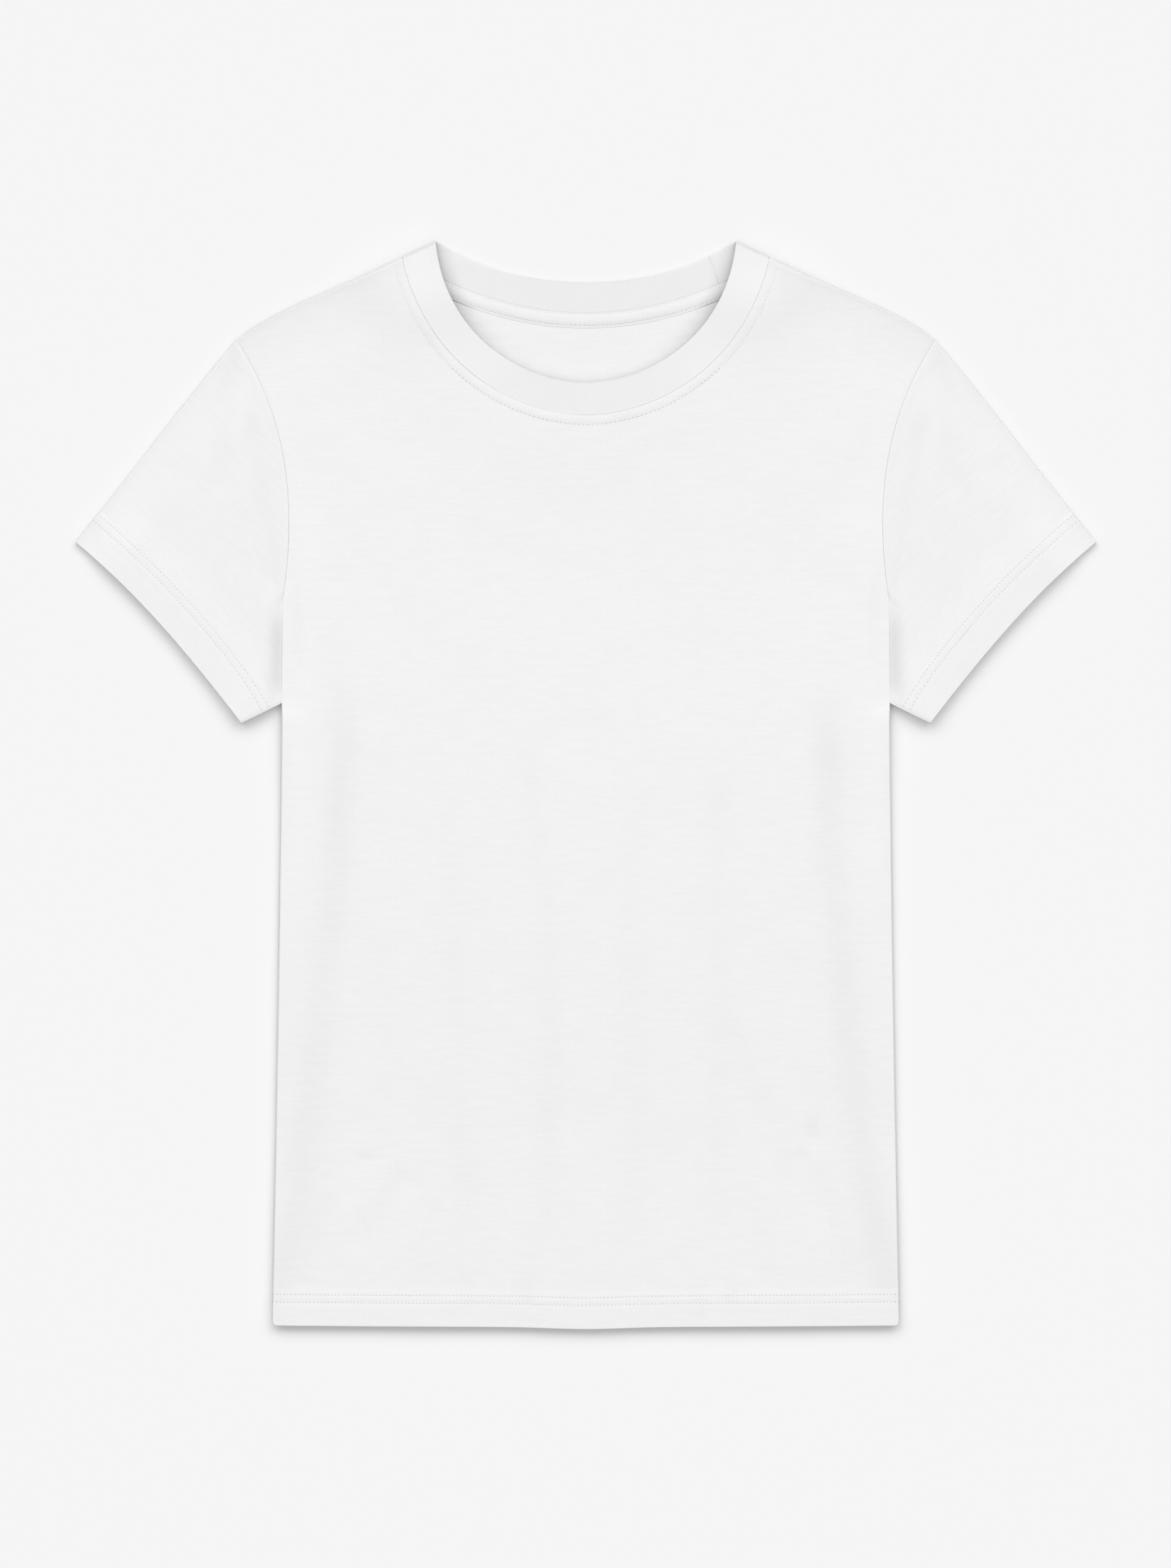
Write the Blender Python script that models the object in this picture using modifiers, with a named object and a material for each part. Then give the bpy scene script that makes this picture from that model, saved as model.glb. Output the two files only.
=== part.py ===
import bpy
import bmesh
from math import cos, exp, hypot, radians, sin, sqrt
from mathutils import Vector

# Everything is in metres.  The shirt lies on its back: +Y runs to the neck, +Z up.
# Cloth
CLOTH = 0.0011
TURNED_HEM = 0.0022
RIB = 0.0018
TAPE = 0.0010
SEAM_GAP = 0.00045
LAYER_GAP = 0.0004

# Body outline
HEM_CORNER = (0.1960, -0.3381)
HEM_DIP = 0.0022
HEM_DIP_REACH = 0.0700
UNDERARM = (0.1892, 0.1186)
SHOULDER_TIP = (0.2185, 0.2784)
NECK_POINT = (0.1150, 0.3306)
HORN_TIP = (0.0939, 0.3403)
FRONT_NECK_DEPTH = 0.2312
BACK_NECK_DEPTH = 0.2957
BAND_FRONT_EDGE = 0.2518
BAND_BACK_EDGE = 0.3143
HEM_WIDTH = 0.0200
HEM_STEP = 0.0060

# Edge curves: start, two handles, end
SIDE_EDGE = (HEM_CORNER, (0.1926, -0.1819), (0.1903, -0.0342), UNDERARM)
ARMHOLE = (UNDERARM, (0.1785, 0.1893), (0.1927, 0.2394), SHOULDER_TIP)
SHOULDER = (SHOULDER_TIP, (0.1908, 0.3002), (0.1513, 0.3106), NECK_POINT)
FRONT_SEAM = (NECK_POINT, (0.1001, 0.2617), (0.0438, FRONT_NECK_DEPTH), (0.0, FRONT_NECK_DEPTH))
BACK_SEAM = (NECK_POINT, (0.0795, 0.3091), (0.0415, BACK_NECK_DEPTH), (0.0, BACK_NECK_DEPTH))
FRONT_FREE = (HORN_TIP, (0.0880, 0.2780), (0.0367, BAND_FRONT_EDGE), (0.0, BAND_FRONT_EDGE))
BACK_FREE = (HORN_TIP, (0.0655, 0.3216), (0.0333, BAND_BACK_EDGE), (0.0, BAND_BACK_EDGE))

# Sleeve
CUFF_TOP = (0.3194, 0.1518)
CUFF_LOW = (0.2152, 0.0383)
SLEEVE_TOP_EDGE = (SHOULDER_TIP, (0.2509, 0.2409), (0.2816, 0.1980), CUFF_TOP)
CUFF_EDGE = (CUFF_TOP, (0.2787, 0.1186), (0.2466, 0.0790), CUFF_LOW)
CUFF_HEM = 0.0220
CUFF_HEM_STEP = 0.0200
SLEEVE_WIDTH = 0.2000
SHOULDER_SLOPE = radians(26)

# From the underarm the sleeve runs on behind the side of the body, closed along this edge
TUCKED_EDGE = (
    (0.1903, 0.1135),
    (0.1890, 0.1065),
    (0.1860, 0.0970),
    (0.1840, 0.0850),
    (0.1834, 0.0730),
    (0.1835, 0.0630),
    (0.1842, 0.0560),
)
ARMHOLE_SHARE = 0.727

# Heights of the outer faces above the surface it lies on
CENTRE_HEIGHT = 0.0034
NECK_RISE = 0.0017
HEM_RISE = 0.0022
YOKE_RISE = 0.0008
SIDE_ROLL = 0.0024
SIDE_ROLL_IN = 0.0080
SIDE_ROLL_REACH = 0.0120
EDGE_ROUND = 0.0040
TROUGH_DEPTH = 0.0007
TROUGH_REACH = 0.0090
BAND_HEIGHT = 0.0049
SLEEVE_HEIGHT = 0.0042
SLEEVE_TROUGH = 0.0008
CUFF_HEIGHT = 0.0054
TUCK_HEIGHT = 0.0028
TUCK_LIFT = 0.0034
FOLD_ROUND = 0.0035
TUCK_ROUND = 0.0025
FOLD_STEPS = (0, 30, 60, 90)

# Ring of raised cloth round the neck: its centre, how oval it is, its radius and how far it fades
NECK_RING_CENTRE = 0.3400
NECK_RING_OVAL = 1.15
NECK_RING_RADIUS = 0.0980
NECK_RING_FADE = 0.0750

# Stretches of the body's length over which a height comes in or fades away
HEM_RISE_FADE = (-0.320, -0.270)
YOKE_START = (0.120, 0.200)
ROLL_FADE = (0.110, 0.180)
TROUGH_START = (-0.322, -0.270)
TROUGH_FADE = (0.020, 0.085)
SIDE_SEAM_END = (0.112, 0.128)
TUCK_START = (0.010, 0.046)
TUCK_FADE = (0.121, 0.150)
TUCK_INWARD = (0.014, 0.046)
ROLL_FLATTENED = 0.6

# Long trough beside each side seam: where it starts, and how it nears the side further down
TROUGH_TOP = (0.150, 0.040)
TROUGH_DRIFT = 0.044
TROUGH_LENGTH = 0.358
TROUGH_BEND = 1.7

# Trough that runs down each sleeve from the shoulder, and the sleeve's flat parts
SLEEVE_TROUGH_START = (0.015, 0.040)
SLEEVE_TROUGH_FADE = (0.050, 0.090)
SLEEVE_TROUGH_PLACE = 0.22
SLEEVE_TROUGH_DRIFT = 0.03
SLEEVE_TROUGH_REACH = 0.0100
SLEEVE_SEAM_REACH = 0.0160
SEAM_FROM_TIP = 0.0080
SEAM_FROM_EDGE = 0.0015
TUCKED_BESIDE = (0.002, 0.016)
TUCKED_BELOW = (0.110, 0.124)

# Neckband and tape
BAND_FOLD_PULL = 0.0011
BAND_FOLD_ANGLES = (-90, -60, -30, 0, 30, 60, 90)
BAND_BACK_END = 0.0040
TAPE_HALF_LENGTH = 0.1040
TAPE_EDGES = (0.0102, 0.0006)
TAPE_LIFT = 0.0003
CUTTER_RUN_ON = 0.0200
CUTTER_HEIGHT = 0.0300

# Grid lines: share of the way from the centre line to the side, and from hem to top
FRONT_COLUMNS = (0, 0.20, 0.38, 0.47, 0.55, 0.63, 0.71, 0.765, 0.81, 0.85, 0.89, 0.925, 0.955, 0.977,
                 0.990, 0.9970, 1)
BACK_COLUMNS = (0, 0.12, 0.24, 0.36, 0.46, 0.5145, NECK_POINT[0] / SHOULDER_TIP[0], 0.70, 0.79, 0.87,
                0.94, 1)
UNDERARM_ROW = (UNDERARM[1] - HEM_CORNER[1]) / (SHOULDER_TIP[1] - HEM_CORNER[1])
SIDE_ROWS = (0, 0.0325, 0.040, 0.075, 0.13, 0.21, 0.30, 0.39, 0.47, 0.54, 0.58, 0.61, 0.64, 0.675, 0.71)
ARMHOLE_ROWS = (UNDERARM_ROW, 0.755, 0.775, 0.80, 0.83, 0.865, 0.90, 0.935, 0.962)
SHOULDER_ROWS = (0.981, 0.991, 0.9965, 0.9991, 1)
SLEEVE_ROWS = (0, 0.02, 0.045, 0.08, 0.13, 0.21, 0.33, 0.47, 0.62, 0.77, 0.90, 1.0, 1.1, 1.5, 2.0)
NECKLINE_SHARES = (0, 0.12, 0.24, 0.36, 0.47, 0.57, 0.66, 0.74, 0.81, 0.87, 0.92, 0.955, 0.98)
TAPE_SHARES = (0, 0.18, 0.36, 0.53, 0.69, 0.85, 1)


def clear_scene():
    for thing in list(bpy.data.objects):
        bpy.data.objects.remove(thing, do_unlink=True)


def smooth(start, end, value):
    share = min(1.0, max(0.0, (value - start) / (end - start)))
    return share * share * (3 - 2 * share)


def blend(first, second, share):
    return first + (second - first) * share


def bump(distance, reach):
    return exp(-(distance / reach) ** 2)


def curve_point(curve, t):
    weights = ((1 - t) ** 3, 3 * t * (1 - t) ** 2, 3 * t * t * (1 - t), t ** 3)
    return Vector((sum(w * p[0] for w, p in zip(weights, curve)),
                   sum(w * p[1] for w, p in zip(weights, curve))))


def curve_share(curve, direction, value):
    """Share along a curve where its distance in one direction has the wanted value."""
    rising = Vector(curve[3]).dot(direction) > Vector(curve[0]).dot(direction)
    low, high = 0.0, 1.0
    for _ in range(40):
        middle = (low + high) / 2
        if (curve_point(curve, middle).dot(direction) < value) == rising:
            low = middle
        else:
            high = middle
    return (low + high) / 2


def curve_at(curve, axis, value):
    direction = Vector((1 - axis, axis))
    return curve_point(curve, curve_share(curve, direction, value))


def beside(curve, t, distance):
    """Point moved square off the curve, to the left of its running direction."""
    run = (curve_point(curve, min(1, t + 0.001)) - curve_point(curve, max(0, t - 0.001))).normalized()
    return curve_point(curve, t) + Vector((-run.y, run.x)) * distance


def edge_half_width(y):
    y = min(y, SHOULDER_TIP[1])
    if y <= UNDERARM[1]:
        return curve_at(SIDE_EDGE, 1, y).x
    return curve_at(ARMHOLE, 1, y).x


def shoulder_line(x):
    x = abs(x)
    if x >= NECK_POINT[0]:
        return curve_at(SHOULDER, 0, x).y
    slope = (HORN_TIP[1] - NECK_POINT[1]) / (NECK_POINT[0] - HORN_TIP[0])
    return NECK_POINT[1] + slope * (NECK_POINT[0] - x)


def top_line(x, seam):
    """Upper edge of a panel; the front one runs on past its neckline, which is cut later."""
    if abs(x) >= NECK_POINT[0]:
        return curve_at(SHOULDER, 0, abs(x)).y
    if seam is None:
        return min(HORN_TIP[1], shoulder_line(x))
    return curve_at(seam, 0, abs(x)).y


def hem_line(x):
    return HEM_CORNER[1] - HEM_DIP * bump(x, HEM_DIP_REACH)


def panel_spot(column, row, seam):
    side_y = blend(HEM_CORNER[1], SHOULDER_TIP[1], row)
    x = column * edge_half_width(side_y)
    top_x = column * SHOULDER_TIP[0]
    hem_x = column * HEM_CORNER[0]
    return x, blend(hem_line(hem_x), top_line(top_x, seam), row)


def tuck_lift(x, y):
    """How far the side of the body is raised over the part of the sleeve behind it."""
    from_side = edge_half_width(min(y, TUCK_FADE[1])) - abs(x)
    inward = 1 - smooth(*TUCK_INWARD, from_side)
    return TUCK_LIFT * inward * smooth(*TUCK_START, y) * (1 - smooth(*TUCK_FADE, y))


def rounded_edge(distance, reach):
    share = min(1.0, max(0.0, distance / reach))
    return sqrt(1 - (1 - share) ** 2)


def trough_line(y):
    down = max(0.0, (TROUGH_TOP[1] - y) / TROUGH_LENGTH)
    return TROUGH_TOP[0] + TROUGH_DRIFT * down ** TROUGH_BEND


def hem_share(y):
    hem_top = HEM_CORNER[1] + HEM_WIDTH
    return 1 - smooth(hem_top, hem_top + HEM_STEP, y)


def front_spot(x, y, inside):
    """Outer or inner face of the front panel over one place."""
    across = abs(x)
    from_side = edge_half_width(y) - across
    from_shoulder = (shoulder_line(across) - y) * cos(SHOULDER_SLOPE)
    from_ring = hypot(across / NECK_RING_OVAL, y - NECK_RING_CENTRE) - NECK_RING_RADIUS
    height = CENTRE_HEIGHT + NECK_RISE * (1 - smooth(0.0, NECK_RING_FADE, from_ring))
    height += HEM_RISE * (1 - smooth(*HEM_RISE_FADE, y))
    height += YOKE_RISE * smooth(*YOKE_START, y)
    lift = tuck_lift(x, y)
    roll = SIDE_ROLL * bump(from_side - SIDE_ROLL_IN, SIDE_ROLL_REACH) * (1 - smooth(*ROLL_FADE, y))
    roll *= (1 - ROLL_FLATTENED * lift / TUCK_LIFT) * (1 - ROLL_FLATTENED * hem_share(y))
    height += lift + roll
    reach = smooth(*TROUGH_START, y) * (1 - smooth(*TROUGH_FADE, y))
    height -= TROUGH_DEPTH * bump(across - trough_line(y), TROUGH_REACH) * reach
    wall = blend(CLOTH, TURNED_HEM, hem_share(y))
    rim = wall + LAYER_GAP + lift
    sewn_down = 1 - smooth(*SIDE_SEAM_END, y)
    round_side = 1 - sewn_down * (1 - rounded_edge(from_side, EDGE_ROUND))
    round_top = rounded_edge(from_shoulder, EDGE_ROUND)
    if inside:
        height -= wall
        across -= sewn_down * wall * max(0.0, 1 - from_side / EDGE_ROUND)
        inset = wall * max(0.0, 1 - from_shoulder / EDGE_ROUND)
        across -= inset * sin(SHOULDER_SLOPE)
        y -= inset * cos(SHOULDER_SLOPE)
    height = rim + (height - rim) * round_side * round_top
    return Vector((across if x >= 0 else -across, y, height))


def make_surface(name, columns, rows, place, weight=None):
    """A grid laid out by a function, as a named object with cloth weights."""
    sheet = bmesh.new()
    last_column = len(columns) - 1
    last_row = len(rows) - 1
    bmesh.ops.create_grid(sheet, x_segments=last_column, y_segments=last_row, size=1.0)
    shares = []
    for corner in sheet.verts:
        column = columns[round((corner.co.x + 1) / 2 * last_column)]
        row = rows[round((corner.co.y + 1) / 2 * last_row)]
        corner.co = place(column, row)
        shares.append(weight(column, row) if weight else 1.0)
    mesh = bpy.data.meshes.new(name)
    sheet.to_mesh(mesh)
    sheet.free()
    body = bpy.data.objects.new(name, mesh)
    group = body.vertex_groups.new(name="thickness")
    for index, share in enumerate(shares):
        group.add([index], share, "REPLACE")
    return body


def make_shell(name, columns, rows, place, tube=False):
    """A grid laid on the outer face of the cloth, extruded through to its inner face."""
    shell = bmesh.new()
    last_column = len(columns) - 1
    last_row = len(rows) - 1
    bmesh.ops.create_grid(shell, x_segments=last_column, y_segments=last_row, size=1.0)
    number = shell.verts.layers.int.new("place in grid")
    places = []
    for corner in shell.verts:
        column = columns[round((corner.co.x + 1) / 2 * last_column)]
        row = rows[round((corner.co.y + 1) / 2 * last_row)]
        corner[number] = len(places)
        corner.co = place(column, row, False)
        places.append((column, row))
    if tube:
        bmesh.ops.remove_doubles(shell, verts=shell.verts, dist=0.00001)
    inner = bmesh.ops.extrude_face_region(shell, geom=shell.faces[:], use_keep_orig=True)
    for corner in inner["geom"]:
        if isinstance(corner, bmesh.types.BMVert):
            corner.co = place(*places[corner[number]], True)
    bmesh.ops.recalc_face_normals(shell, faces=shell.faces)
    mesh = bpy.data.meshes.new(name)
    shell.to_mesh(mesh)
    shell.free()
    return bpy.data.objects.new(name, mesh)


def mirror_across(body):
    mirror = body.modifiers.new("both sides", "MIRROR")
    mirror.use_axis = (True, False, False)
    mirror.use_clip = True
    mirror.merge_threshold = 0.00005


def thicken(body, thickness, offset, graded=False):
    wall = body.modifiers.new("cloth", "SOLIDIFY")
    wall.thickness = thickness
    wall.offset = offset
    wall.use_rim = True
    if graded:
        wall.vertex_group = "thickness"


def make_material(name, colour, roughness):
    material = bpy.data.materials.new(name)
    material.use_nodes = True
    shader = material.node_tree.nodes["Principled BSDF"]
    shader.inputs["Base Color"].default_value = (*colour, 1.0)
    shader.inputs["Roughness"].default_value = roughness
    return material


def hem_weight(column, row):
    return 1.0 if row <= SIDE_ROWS[1] else CLOTH / TURNED_HEM


def neckline_stations():
    """Places along half of the front neckline, centre to neck point."""
    return [share * NECK_POINT[0] for share in NECKLINE_SHARES]


def make_neckline_cutter():
    half = [curve_at(FRONT_SEAM, 0, x) for x in neckline_stations()]
    half.append(Vector(NECK_POINT))
    run_on = (Vector(NECK_POINT) - Vector(FRONT_SEAM[1])).normalized() * CUTTER_RUN_ON
    half.append(Vector(NECK_POINT) + run_on)
    outline = [Vector((-p.x, p.y, 0.0)) for p in reversed(half)] + [p.to_3d() for p in half[1:]]
    cutter = bmesh.new()
    base = cutter.faces.new([cutter.verts.new(point) for point in outline])
    top = bmesh.ops.extrude_face_region(cutter, geom=[base], use_keep_orig=True)
    raised = [item for item in top["geom"] if isinstance(item, bmesh.types.BMVert)]
    bmesh.ops.translate(cutter, verts=raised, vec=(0, 0, CUTTER_HEIGHT))
    bmesh.ops.recalc_face_normals(cutter, faces=cutter.faces)
    mesh = bpy.data.meshes.new("neckline_cutter")
    cutter.to_mesh(mesh)
    cutter.free()
    body = bpy.data.objects.new("neckline_cutter", mesh)
    body.hide_render = True
    body.display_type = "WIRE"
    return body


def make_front(cutter):
    def place(column, row, inside):
        x, y = panel_spot(column, row, None)
        return front_spot(x, y, inside)

    columns = [-column for column in reversed(FRONT_COLUMNS[1:])] + list(FRONT_COLUMNS)
    rows = SIDE_ROWS + ARMHOLE_ROWS + SHOULDER_ROWS
    body = make_shell("front", columns, rows, place)
    neckline = body.modifiers.new("neckline", "BOOLEAN")
    neckline.operation = "DIFFERENCE"
    neckline.object = cutter
    neckline.solver = "EXACT"
    return body


def make_back():
    def place(column, row):
        x, y = panel_spot(column, row, BACK_SEAM)
        return Vector((x, y, tuck_lift(x, y)))

    rows = SIDE_ROWS + ARMHOLE_ROWS + (0.985, 1)
    body = make_surface("back", BACK_COLUMNS, rows, place, hem_weight)
    mirror_across(body)
    thicken(body, TURNED_HEM, 1, graded=True)
    return body


def sleeve_opening(across):
    """Inner edge of the sleeve in plan: the armhole, then the tucked edge."""
    if across <= ARMHOLE_SHARE:
        y = blend(SHOULDER_TIP[1], UNDERARM[1], across / ARMHOLE_SHARE)
        return beside(ARMHOLE, curve_share(ARMHOLE, Vector((0, 1)), y), -SEAM_GAP)
    edge = [tuple(beside(ARMHOLE, 0, -SEAM_GAP))] + list(TUCKED_EDGE)
    place = (across - ARMHOLE_SHARE) / (1 - ARMHOLE_SHARE) * (len(edge) - 1)
    index = min(int(place), len(edge) - 2)
    return Vector(edge[index]).lerp(Vector(edge[index + 1]), place - index)


def sleeve_length(across):
    return (curve_point(CUFF_EDGE, across) - sleeve_opening(across)).length


def sleeve_spot(across, along):
    """Plan position: across from the top fold to the under edge, along from armhole to cuff."""
    ends = sleeve_opening(across).lerp(curve_point(CUFF_EDGE, across), along)
    fold_bow = curve_point(SLEEVE_TOP_EDGE, along) - Vector(SHOULDER_TIP).lerp(Vector(CUFF_TOP), along)
    return ends + (1 - across) ** 3 * fold_bow


def is_tucked(across):
    return across > ARMHOLE_SHARE + 0.001


def sleeve_heights(across, along):
    """Outer faces of the lower and upper layer at one place."""
    spot = sleeve_spot(across, along)
    from_opening = along * sleeve_length(across)
    from_cuff = (1 - along) * sleeve_length(across)
    hem_top = CUFF_HEM + CUFF_HEM_STEP
    height = blend(CUFF_HEIGHT, SLEEVE_HEIGHT, smooth(CUFF_HEM, hem_top, from_cuff))
    from_trough = (across - SLEEVE_TROUGH_PLACE) * SLEEVE_WIDTH - along * SLEEVE_TROUGH_DRIFT
    trough = SLEEVE_TROUGH * bump(from_trough, SLEEVE_TROUGH_REACH)
    height -= trough * smooth(*SLEEVE_TROUGH_START, from_opening) * smooth(*SLEEVE_TROUGH_FADE, from_cuff)
    from_body = spot.x - edge_half_width(min(spot.y, UNDERARM[1]))
    tucked = (1 - smooth(*TUCKED_BESIDE, from_body)) * (1 - smooth(*TUCKED_BELOW, spot.y))
    height = blend(height, TUCK_HEIGHT, tucked)
    if is_tucked(across):
        return 0.0, height
    edge = sleeve_opening(across)
    edge_y = min(edge.y, SHOULDER_TIP[1] - SEAM_FROM_TIP)
    near_seam = 1 - smooth(0.0, SLEEVE_SEAM_REACH, from_opening)
    seam_height = front_spot(edge_half_width(edge_y) - SEAM_FROM_EDGE, edge_y, False).z
    return tuck_lift(edge.x, edge.y) * near_seam, blend(height, seam_height, near_seam)


def sleeve_stations():
    """Places round the flattened tube: share across, angle round a fold, layer."""
    drop = SHOULDER_TIP[1] - UNDERARM[1]
    heights = [blend(HEM_CORNER[1], SHOULDER_TIP[1], row) for row in ARMHOLE_ROWS]
    middle = sorted((SHOULDER_TIP[1] - y) / drop * ARMHOLE_SHARE for y in heights)
    gaps = len(TUCKED_EDGE)
    middle += [blend(ARMHOLE_SHARE, 1, step / gaps) for step in range(1, gaps)]
    top = [(0.0, angle, 1) for angle in FOLD_STEPS] + [(share, None, 1) for share in middle]
    top += [(1.0, angle, 1) for angle in reversed(FOLD_STEPS)]
    low = [(1.0, angle, -1) for angle in FOLD_STEPS[1:]]
    low += [(share, None, -1) for share in reversed(middle)]
    low += [(0.0, angle, -1) for angle in reversed(FOLD_STEPS)]
    return top + low


def make_sleeve(name, side):
    def place(station, row, inside):
        across, angle, layer = station
        wall = blend(CLOTH, TURNED_HEM, smooth(1.0, 1.1, row))
        opened = 1.0
        if angle is not None:
            start = wall if inside else 0.0
            inward = blend(start, FOLD_ROUND, 1 - cos(radians(angle))) / SLEEVE_WIDTH
            across += inward if across < 0.5 else -inward
            opened = sin(radians(angle))
        hem = CUFF_HEM / sleeve_length(across)
        along = row * (1 - hem) if row <= 1 else 1 - hem + (row - 1) * hem
        if is_tucked(across):
            start = wall if inside else 0.0
            from_edge = along * sleeve_length(across)
            opened *= rounded_edge(from_edge, TUCK_ROUND)
            along += start * max(0.0, 1 - from_edge / TUCK_ROUND) / sleeve_length(across)
        lower, upper = sleeve_heights(across, along)
        upper = max(upper, lower + 2 * wall + LAYER_GAP)
        half_height = (upper - lower) / 2 - (wall if inside else 0.0)
        spot = sleeve_spot(across, along)
        return Vector((side * spot.x, spot.y, (lower + upper) / 2 + layer * opened * half_height))

    return make_shell(name, sleeve_stations(), SLEEVE_ROWS, place, tube=True)


def make_neckband():
    """Half a ring: centre back, round the fold at the neck point, to centre front."""
    line = Vector(HORN_TIP) - Vector(NECK_POINT)
    outward = Vector((-line.y, line.x)).normalized()
    if outward.y < 0:
        outward = -outward
    radius = BAND_HEIGHT / 2
    back_x = [column * SHOULDER_TIP[0] for column in BACK_COLUMNS]
    stations = [("back", x) for x in back_x if x < NECK_POINT[0] - BAND_BACK_END]
    stations += [("fold", angle) for angle in BAND_FOLD_ANGLES]
    stations += [("front", x) for x in reversed(neckline_stations())]
    share_across = (0, 0.5, 1)
    pull_in = line.normalized() * BAND_FOLD_PULL

    def place(station, across):
        kind, value = station
        if kind == "fold":
            seam = BACK_SEAM if value < 0 else FRONT_SEAM
            free_curve = BACK_FREE if value < 0 else FRONT_FREE
            depth = radius * (1 - cos(radians(value)))
            sewn_share = curve_share(seam, outward, Vector(NECK_POINT).dot(outward) - depth)
            free_share = curve_share(free_curve, outward, Vector(HORN_TIP).dot(outward) - depth)
            level = radius + radius * sin(radians(value))
        else:
            seam = BACK_SEAM if kind == "back" else FRONT_SEAM
            free_curve = BACK_FREE if kind == "back" else FRONT_FREE
            sewn_share = curve_share(seam, Vector((1, 0)), value)
            free_share = curve_share(free_curve, Vector((1, 0)), value / NECK_POINT[0] * HORN_TIP[0])
            level = 0.0 if kind == "back" else BAND_HEIGHT
        sewn = curve_point(seam, sewn_share)
        gap = beside(seam, sewn_share, -SEAM_GAP) - sewn
        if kind == "fold":
            gap = gap.lerp(pull_in, sqrt(abs(cos(radians(value)))))
        sewn += gap
        spot = curve_point(free_curve, free_share).lerp(sewn, across)
        return Vector((0.0 if value == 0 and kind != "fold" else spot.x, spot.y, level))

    body = make_surface("neckband", stations, share_across, place)
    mirror_across(body)
    thicken(body, RIB, -1)
    return body


def make_neck_tape():
    steps = [TAPE_HALF_LENGTH * share for share in TAPE_SHARES]

    def place(x, inward):
        spot = beside(BACK_SEAM, curve_share(BACK_SEAM, Vector((1, 0)), x), inward)
        if x == 0:
            spot.x = 0.0
        return Vector((spot.x, spot.y, CLOTH + TAPE_LIFT))

    body = make_surface("neck_tape", steps, TAPE_EDGES, place)
    mirror_across(body)
    thicken(body, TAPE, 1)
    return body


def build():
    clear_scene()
    shirt = bpy.data.collections.new("crew_neck_tshirt")
    bpy.context.scene.collection.children.link(shirt)
    jersey = (0.84, 0.84, 0.84)
    rib = (0.82, 0.82, 0.82)
    cutter = make_neckline_cutter()
    shirt.objects.link(cutter)
    pieces = (
        (make_back(), "back_jersey", jersey),
        (make_front(cutter), "front_jersey", jersey),
        (make_sleeve("sleeve_left", 1), "left_sleeve_jersey", jersey),
        (make_sleeve("sleeve_right", -1), "right_sleeve_jersey", jersey),
        (make_neckband(), "neckband_rib", rib),
        (make_neck_tape(), "neck_tape_jersey", jersey),
    )
    for body, material_name, colour in pieces:
        body.data.materials.append(make_material(material_name, colour, 0.9))
        shirt.objects.link(body)


build()
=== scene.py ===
from math import radians

import bmesh
import bpy
import numpy as np
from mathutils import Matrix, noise


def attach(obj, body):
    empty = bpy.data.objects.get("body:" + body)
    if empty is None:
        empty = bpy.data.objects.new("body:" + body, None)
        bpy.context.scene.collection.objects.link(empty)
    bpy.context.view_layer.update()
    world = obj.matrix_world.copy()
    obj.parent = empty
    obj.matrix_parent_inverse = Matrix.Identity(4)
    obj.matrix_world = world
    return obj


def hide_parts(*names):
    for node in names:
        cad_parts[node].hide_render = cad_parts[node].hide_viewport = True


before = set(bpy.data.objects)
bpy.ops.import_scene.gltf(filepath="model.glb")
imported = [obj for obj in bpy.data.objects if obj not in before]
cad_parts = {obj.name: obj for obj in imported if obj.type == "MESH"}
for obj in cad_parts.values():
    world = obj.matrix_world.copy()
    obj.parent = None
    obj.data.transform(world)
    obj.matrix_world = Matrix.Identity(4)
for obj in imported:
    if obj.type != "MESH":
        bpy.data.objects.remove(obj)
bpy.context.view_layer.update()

# the cut, in metres, lying flat with +Y to the neck: start, two handles and end of each edge
cut = {
    "side": ((0.196, -0.3381), (0.1926, -0.1819), (0.1903, -0.0342), (0.1892, 0.1186)),
    "armhole": ((0.1892, 0.1186), (0.1785, 0.1893), (0.1927, 0.2394), (0.2185, 0.2784)),
    "shoulder": ((0.115, 0.3306), (0.1513, 0.3106), (0.1908, 0.3002), (0.2185, 0.2784)),
    "frontNeck": ((0.0, 0.2312), (0.0438, 0.2312), (0.1001, 0.2617), (0.115, 0.3306)),
    "backNeck": ((0.0, 0.2957), (0.0415, 0.2957), (0.0795, 0.3091), (0.115, 0.3306)),
    "frontFree": ((0.0, 0.2518), (0.0367, 0.2518), (0.088, 0.278), (0.0939, 0.3403)),
    "backFree": ((0.0, 0.3143), (0.0333, 0.3143), (0.0655, 0.3216), (0.0939, 0.3403)),
    "sleeveTop": ((0.2185, 0.2784), (0.2509, 0.2409), (0.2816, 0.198), (0.3194, 0.1518)),
    "cuff": ((0.3194, 0.1518), (0.2787, 0.1186), (0.2466, 0.079), (0.2152, 0.0383)),
    "cloth": 0.0008, "hemCloth": 0.0016, "hemBow": 0.0008, "hemDip": 0.0013,
    "hemCornerRadius": 0.004,
}


def smoothStep(start, end, value):
    share = np.clip((value - start) / (end - start), 0.0, 1.0)
    return share * share * (3 - 2 * share)


def fade(start, end, value):  # 1 up to the start, 0 from the end on
    return 1 - smoothStep(start, end, value)


def blend(height, level, share):  # a height brought towards a level
    return height + (level - height) * share


def bump(distance, reach):
    return np.exp(-(distance / reach) ** 2)


def rounded(distance, reach):  # quarter circle: 0 at the edge, 1 from reach on
    return np.sqrt(1 - (1 - np.clip(distance / reach, 0.0, 1.0)) ** 2)


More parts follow.
